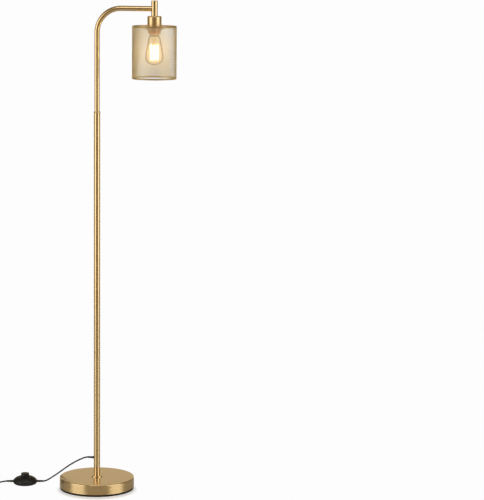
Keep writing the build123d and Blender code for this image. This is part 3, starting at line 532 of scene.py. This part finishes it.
def coil_point(angle):
    """A point of the coil's line: in on the floor, up within half a turn, and out on top.

    The radius falls by one pitch a turn to the coil's middle and grows again after it, and the two
    slopes meet in a parabola within the half turn where the lead climbs one pitch as 3 s2 - 2 s3.
    """
    total = 2 * math.pi * COIL_TURNS
    rate = COIL_PITCH / (2 * math.pi)
    half = math.pi / 2
    spread = rate * (total / 2 - half / 2) / 2
    past = angle - total / 2
    share = min(max((past + half) / (2 * half), 0), 1)
    bent = rate * (past**2 / (2 * half) + half / 2)
    radius = COIL_MID_R - spread + (bent if abs(past) < half else rate * abs(past))
    turn = COIL_START - angle
    z = COIL_LOW_Z + COIL_PITCH * share**2 * (3 - 2 * share)
    return (COIL_X + radius * math.cos(turn), COIL_Y + radius * math.sin(turn), z)


def beyond(first, second, reach):
    """The point that lies a reach before first, on the line from second through it."""
    back = (Vector(first) - Vector(second)).normalized()
    return tuple(Vector(first) + back * reach)


def lead(name, points):
    """A length of lead: one smooth curve with these control points, as thick as the real lead."""
    curve = bpy.data.curves.new(name, "CURVE")
    curve.dimensions = "3D"
    curve.bevel_depth = LEAD_D / 2
    curve.bevel_resolution = 5
    curve.use_fill_caps = True
    curve.resolution_u = 6
    spline = curve.splines.new("NURBS")
    spline.points.add(len(points) - 1)
    for control, point in zip(spline.points, points):
        control.co = (*point, 1)
    spline.order_u = 3
    spline.use_endpoint_u = True
    made = bpy.data.objects.new(name, curve)
    bpy.context.scene.collection.objects.link(made)
    paint(made, LEAD_PVC)
    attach(made, "stand")
    return made


def free_lead():
    """The lead from the bushing to the foot switch, and on from there to the coil and the plug."""
    bushing = (EXIT_X, 0.0, EXIT_Z)
    first = lead("lead_pole_to_switch", [
        bushing,
        (-0.041, 0.0, 0.1036),
        (-0.053, 0.001, 0.0980),
        (-0.072, 0.004, 0.0882),
        (-0.094, 0.0082, 0.0740),
        (-0.116, 0.0122, 0.0575),
        (-0.138, 0.0157, 0.0400),
        on_switch(RELIEF_REACH + 0.030, 0.0252),
        on_switch(RELIEF_REACH + SWITCH_LEAD_RUN, 0.0160),
        on_switch(RELIEF_REACH + 0.007, 0.0114),
        on_switch(RELIEF_REACH),
    ])
    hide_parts("lead_to_switch")

    steps = round(COIL_TURNS * POINTS_PER_TURN)
    angles = np.linspace(0, 2 * math.pi * COIL_TURNS, steps + 1)
    turns = [coil_point(angle) for angle in angles]
    leaving = on_switch(-RELIEF_REACH)
    second = lead("lead_switch_to_plug", [
        leaving,
        on_switch(-RELIEF_REACH - SWITCH_LEAD_RUN, 0.0080),
        (-0.344, -0.0125, 0.0026),
        beyond(turns[0], turns[1], COIL_LEAD_RUN + LEAD_D),
        beyond(turns[0], turns[1], LEAD_D),
        *turns,
        beyond(turns[-1], turns[-2], LEAD_D),
    ])
    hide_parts("lead_to_coil", "lead_coil")


# ---- Studio ----
CAMERA_DISTANCE = 7.3  # from the pole's axis
CAMERA_HEIGHT = 1.8946
CAMERA_TURN = math.radians(12)  # the arm leans this far towards the camera
CAMERA_YAW = 0.0661  # aim to the right of the pole
CAMERA_PITCH = 0.1469  # aim below the level
CAMERA_ROLL = 0.0100
PICTURE_H = 500  # the frame's height in pixels
FOCAL_PIXELS = 2214.5
SENSOR_MM = 36.0
FLOOR_R = 2.6
FLOOR_GLOSS = 0.5  # how much of the floor's light is a mirror image, in the gold's reflections of it
FLOOR_BLUR = 0.34  # the roughness of that image
FLOOR_LIFT = 0.30  # light added to the paper near the lamp, which the lamp itself shades too deeply
SHADOW_AHEAD = 0.024  # how far the floor's shaded disc lies in front of the lamp
SHADE_FROM = 0.118  # the shaded disc's radius where it starts to fade
WHITE_FROM = 0.140  # and where the floor is plain white
WHITE = "#FDFDFD"
ROOM_TINT = "#FAE6BE"
ROOM_LIGHT = 0.19
BACKDROP_LIGHT = 0.50
BACKDROP_EDGE = 0.80  # cosines of the angles off the backdrop's middle where it begins
BACKDROP_FULL = 0.95  # and where it has its full light
SWEEP_LOW = 0.08  # sines of the angles where the white sweep of paper starts to darken and ends
SWEEP_HIGH = 0.26
LIGHT_AIM = Vector((0.05, 0.0, 1.45))


def camera():
    """The camera, placed by its distance, height and turn, and aimed by yaw, pitch and roll."""
    spot = Vector((CAMERA_DISTANCE * math.sin(CAMERA_TURN), -CAMERA_DISTANCE * math.cos(CAMERA_TURN),
                   CAMERA_HEIGHT))
    heading = math.atan2(-spot.y, -spot.x) - CAMERA_YAW
    level = math.cos(CAMERA_PITCH)
    ahead = Vector((level * math.cos(heading), level * math.sin(heading), -math.sin(CAMERA_PITCH)))
    right = ahead.cross(Vector((0, 0, 1))).normalized()
    up = right.cross(ahead)
    c, s = math.cos(CAMERA_ROLL), math.sin(CAMERA_ROLL)
    right, up = right * c + up * s, up * c - right * s
    data = bpy.data.cameras.new("camera")
    data.sensor_width = SENSOR_MM
    data.lens = FOCAL_PIXELS * SENSOR_MM / PICTURE_H
    made = bpy.data.objects.new("camera", data)
    made.matrix_world = Matrix.Translation(spot) @ Matrix((right, up, -ahead)).transposed().to_4x4()
    bpy.context.scene.collection.objects.link(made)
    bpy.context.scene.camera = made


def floor():
    """A round pale floor that keeps the lamp's shadow near it and fades to white further out.

    The gold's reflections of it are partly a soft mirror image, so that they show the lights.
    """
    material, tree, out = start("white_paper_floor")
    ahead = (SHADOW_AHEAD * math.sin(CAMERA_TURN), -SHADOW_AHEAD * math.cos(CAMERA_TURN), 0.0)
    from_shadow = add(tree, "VectorMath", {0: place(tree), 1: ahead}, operation="SUBTRACT").outputs[0]
    distance = add(tree, "VectorMath", {0: from_shadow}, operation="LENGTH").outputs["Value"]
    far = add(tree, "MapRange", {"Value": distance, "From Min": SHADE_FROM, "From Max": WHITE_FROM},
              interpolation_type="SMOOTHSTEP").outputs["Result"]
    path = add(tree, "LightPath").outputs
    seen = add(tree, "Math", {0: path["Is Camera Ray"], 1: path["Is Transmission Ray"]},
               operation="MAXIMUM").outputs[0]
    matt = add(tree, "BsdfDiffuse", {"Color": linear("#E8E8E8")}).outputs[0]
    gloss = add(tree, "BsdfGlossy", {"Color": linear(WHITE), "Roughness": FLOOR_BLUR}).outputs[0]
    mirrored = add(tree, "Mix", {0: seen, 2: FLOOR_GLOSS, 3: 0.0}, data_type="FLOAT").outputs[0]
    paper = add(tree, "MixShader", {0: mirrored, 1: matt, 2: gloss}).outputs[0]
    lift = add(tree, "Math", {0: seen, 1: FLOOR_LIFT}, operation="MULTIPLY").outputs[0]
    lifted = add(tree, "AddShader", {
        0: paper, 1: add(tree, "Emission", {"Color": linear(WHITE), "Strength": lift}).outputs[0],
    }).outputs[0]
    white = add(tree, "Emission", {"Color": linear(WHITE), "Strength": 1.0}).outputs[0]
    share = add(tree, "Math", {0: seen, 1: far}, operation="MULTIPLY").outputs[0]
    tree.links.new(add(tree, "MixShader", {0: share, 1: lifted, 2: white}).outputs[0],
                   out.inputs["Surface"])
    around = np.linspace(0, 2 * np.pi, 96, endpoint=False)
    ring = np.stack([np.cos(around), np.sin(around), np.zeros(96)], axis=1) * FLOOR_R
    mesh = bpy.data.meshes.new("floor")
    mesh.from_pydata(ring, [], [list(range(96))])
    made = bpy.data.objects.new("floor", mesh)
    bpy.context.scene.collection.objects.link(made)
    paint(made, material)


def world():
    """A dim warm studio with a paler backdrop behind the lamp, and plain white to the camera."""
    made = bpy.data.worlds.new("studio")
    bpy.context.scene.world = made
    made.use_nodes = True
    tree = made.node_tree
    tree.nodes.clear()
    way = add(tree, "TexCoord").outputs["Generated"]
    behind = add(tree, "VectorMath", {0: way, 1: (-math.sin(CAMERA_TURN), math.cos(CAMERA_TURN), 0.0)},
                 operation="DOT_PRODUCT").outputs["Value"]
    height = add(tree, "SeparateXYZ", {"Vector": way}).outputs["Z"]
    sweep = add(tree, "MapRange", {"Value": height, "From Min": SWEEP_LOW, "From Max": SWEEP_HIGH,
                                   "To Min": 1.0, "To Max": BACKDROP_LIGHT},
                interpolation_type="SMOOTHSTEP").outputs["Result"]
    level = add(tree, "MapRange", {"Value": behind, "From Min": BACKDROP_EDGE, "From Max": BACKDROP_FULL,
                                   "To Min": ROOM_LIGHT, "To Max": sweep},
                interpolation_type="SMOOTHSTEP").outputs["Result"]
    path = add(tree, "LightPath").outputs
    seen = add(tree, "Math", {0: path["Is Camera Ray"], 1: path["Is Transmission Ray"]},
               operation="MAXIMUM").outputs[0]
    strength = add(tree, "Mix", {0: seen, 2: level, 3: 1.0}, data_type="FLOAT").outputs[0]
    tint = add(tree, "Mix", {0: seen, 6: linear(ROOM_TINT), 7: linear(WHITE)},
               data_type="RGBA").outputs[2]
    back = add(tree, "Background", {"Color": tint, "Strength": strength})
    tree.links.new(back.outputs[0], add(tree, "OutputWorld").inputs["Surface"])


def softbox(name, side, climb, distance, width, height, light):
    """A rectangular soft light aimed at the lamp's middle.

    Its place is a distance from the aim, at an angle round from the camera and an angle up.
    """
    turn = CAMERA_TURN + math.radians(side)
    up = math.radians(climb)
    way = Vector((math.sin(turn) * math.cos(up), -math.cos(turn) * math.cos(up), math.sin(up)))
    data = bpy.data.lights.new(name, "AREA")
    data.shape = "RECTANGLE"
    data.size, data.size_y = width, height
    data.energy = light * math.pi * width * height
    made = bpy.data.objects.new(name, data)
    made.location = LIGHT_AIM + way * distance
    made.rotation_euler = way.to_track_quat("Z", "Y").to_euler()
    made.visible_camera = False
    bpy.context.scene.collection.objects.link(made)


def lights():
    """Two tall soft lights at the sides and a wide one above: side, climb, distance, size, light."""
    softbox("softbox_left", -62, 0, 2.8, 2.3, 2.8, 1.6)
    softbox("softbox_right", 62, 0, 2.8, 2.3, 2.8, 1.6)
    softbox("softbox_above", 0, 56, 2.6, 2.6, 1.4, 1.8)


finish_nodes()
press_spring()
shade_sheet()
free_lead()
floor()
world()
lights()
camera()
bpy.context.scene.view_settings.view_transform = "Standard"
